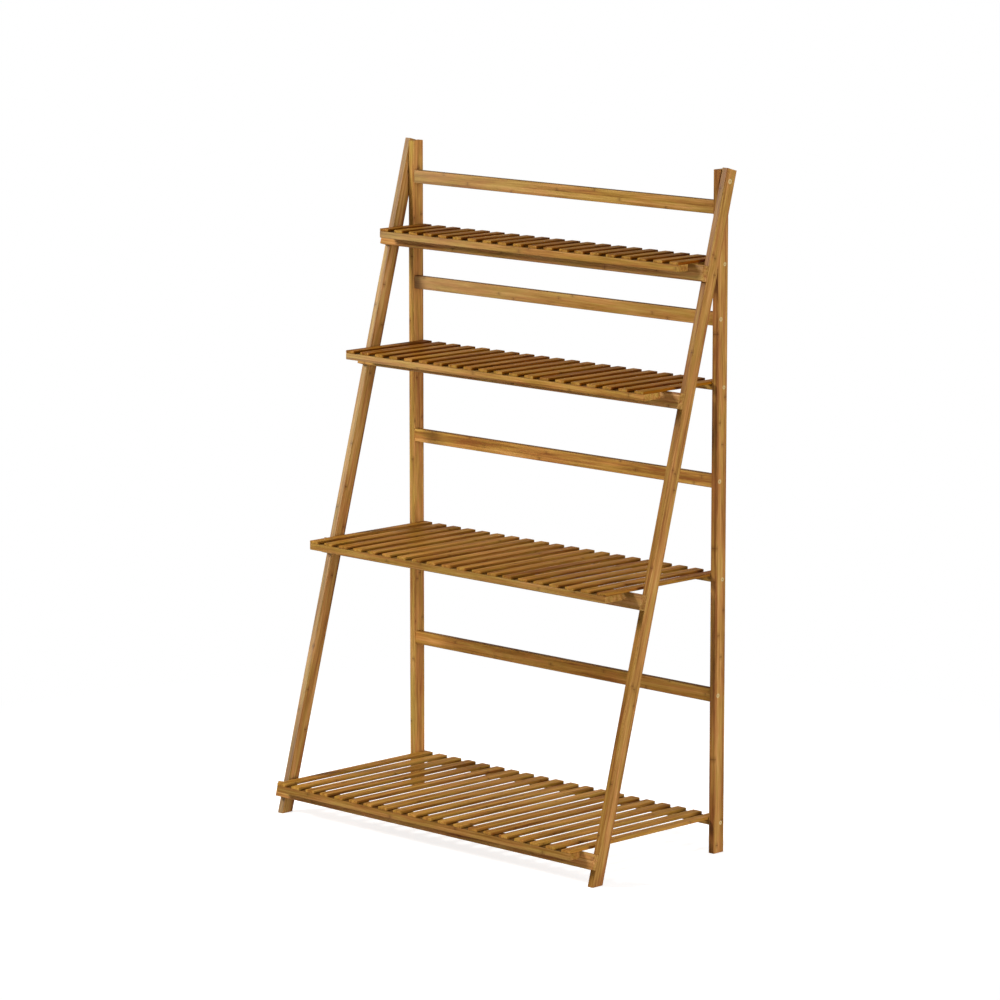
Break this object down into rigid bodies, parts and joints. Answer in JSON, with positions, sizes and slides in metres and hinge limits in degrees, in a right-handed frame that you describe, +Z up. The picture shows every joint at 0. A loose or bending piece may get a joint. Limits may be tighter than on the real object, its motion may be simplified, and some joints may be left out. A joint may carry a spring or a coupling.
{
  "type": "folding ladder shelving unit",
  "caption": "Ladder-shaped bamboo shelving unit: a leaning front frame is hinged to a straight rear frame, and slatted shelves that deepen downward pivot on the rear posts and rest on rungs.",
  "frame": {"origin": "On the floor, at the middle of the box that holds the open unit, so the four feet stand at z = 0.", "axes": "+Z is up, +X is to the right across the shelves seen from the front, and +Y is to the back; the deep bottom shelf points to -Y."},
  "size_m": [0.8, 0.3858, 1.223],
  "materials": {
    "bamboo": "satin lacquer",
    "hardware": "zinc plated",
    "insert": "plain turned"
  },
  "bodies": {
    "rear_frame": {"post_left": "bamboo", "post_right": "bamboo", "back_rail_1": "bamboo", "back_rail_2": "bamboo", "back_rail_3": "bamboo", "back_rail_4": "bamboo", "rail_screws": "hardware", "pivot_inserts": "insert", "frame_bolts": "hardware", "frame_washers": "hardware"},
    "front_frame": {"leg_left": "bamboo", "leg_right": "bamboo", "rung_1": "bamboo", "rung_2": "bamboo", "rung_3": "bamboo", "rung_4": "bamboo", "rung_screws": "hardware"},
    "shelf_1": {"shelf_1_slats": "bamboo", "shelf_1_front_batten": "bamboo", "shelf_1_rear_batten": "bamboo", "shelf_1_bolts": "hardware"},
    "shelf_2": {"shelf_2_slats": "bamboo", "shelf_2_front_batten": "bamboo", "shelf_2_rear_batten": "bamboo", "shelf_2_bolts": "hardware"},
    "shelf_3": {"shelf_3_slats": "bamboo", "shelf_3_front_batten": "bamboo", "shelf_3_rear_batten": "bamboo", "shelf_3_bolts": "hardware"},
    "shelf_4": {"shelf_4_slats": "bamboo", "shelf_4_front_batten": "bamboo", "shelf_4_rear_batten": "bamboo", "shelf_4_bolts": "hardware"}
  },
  "joints": [
    {"name": "frame_fold", "type": "hinge", "parent": "rear_frame", "child": "front_frame", "pos_m": [0, 0.1752, 1.199], "axis": [1, 0, 0], "range_deg": [0, 15]},
    {"name": "shelf_1_lift", "type": "hinge", "parent": "rear_frame", "child": "shelf_1", "pos_m": [0, 0.1797, 1.053], "axis": [-1, 0, 0], "range_deg": [0, 71]},
    {"name": "shelf_2_lift", "type": "hinge", "parent": "rear_frame", "child": "shelf_2", "pos_m": [0, 0.1797, 0.836], "axis": [-1, 0, 0], "range_deg": [0, 75]},
    {"name": "shelf_3_lift", "type": "hinge", "parent": "rear_frame", "child": "shelf_3", "pos_m": [0, 0.1797, 0.494], "axis": [-1, 0, 0], "range_deg": [0, 80]},
    {"name": "shelf_4_lift", "type": "hinge", "parent": "rear_frame", "child": "shelf_4", "pos_m": [0, 0.1797, 0.054], "axis": [-1, 0, 0], "range_deg": [0, 82]}
  ]
}
